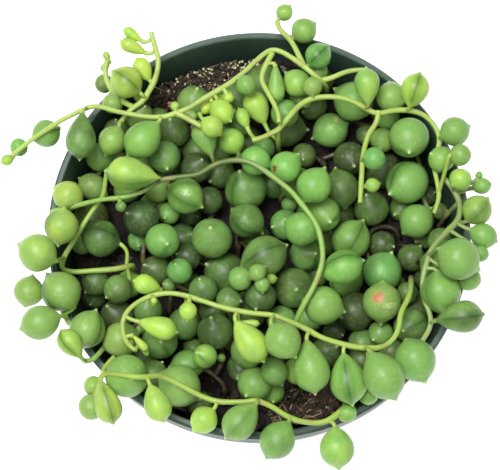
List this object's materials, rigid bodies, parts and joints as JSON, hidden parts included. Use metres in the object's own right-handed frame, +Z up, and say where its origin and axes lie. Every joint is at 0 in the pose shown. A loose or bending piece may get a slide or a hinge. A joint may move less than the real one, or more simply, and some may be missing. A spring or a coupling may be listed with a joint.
{
  "type": "potted string of pearls",
  "caption": "Trailing succulent with bead-like round leaves on thin stems, spilling over the rim of a round tapered nursery pot filled with peat.",
  "frame": {"origin": "centre of the pot's flat underside, on the surface that the pot stands on", "axes": "+Z up along the pot's axis; -Y towards the viewer of the picture (its lower edge); +X to the viewer's right"},
  "size_m": [0.1254, 0.1204, 0.1062],
  "materials": {
    "pot_plastic": "satin dark green moulded plastic",
    "peat": "rough dark potting mix",
    "perlite": "rough white grains",
    "bark": "rough",
    "dry_tissue": "dry, papery",
    "green_flesh": "waxy, slightly translucent leaf",
    "deep_flesh": "waxy leaf in the shade"
  },
  "bodies": {
    "root": {"pot": "pot_plastic", "soil": "peat", "perlite_grain_1": "perlite", "perlite_grain_2": "perlite", "perlite_grain_3": "perlite", "perlite_grain_4": "perlite", "perlite_grain_5": "perlite", "dry_flake_back": "dry_tissue", "dry_flake_left": "dry_tissue", "dry_leaf": "dry_tissue", "bark_chip": "bark", "string_inner_west": "deep_flesh", "string_inner_north_west": "deep_flesh", "string_inner_centre_west": "deep_flesh", "string_inner_centre": "deep_flesh", "string_inner_centre_east": "deep_flesh", "string_inner_east": "deep_flesh", "string_inner_north_east": "deep_flesh", "string_inner_south_west": "deep_flesh", "string_inner_south": "deep_flesh", "string_inner_south_centre": "deep_flesh", "string_west": "green_flesh", "string_south_west_edge": "green_flesh", "string_middle": "green_flesh", "string_north": "green_flesh", "string_upper": "green_flesh", "string_young_shoot": "green_flesh", "string_lower": "green_flesh", "string_front": "green_flesh", "string_east_edge": "green_flesh"}
  },
  "joints": []
}
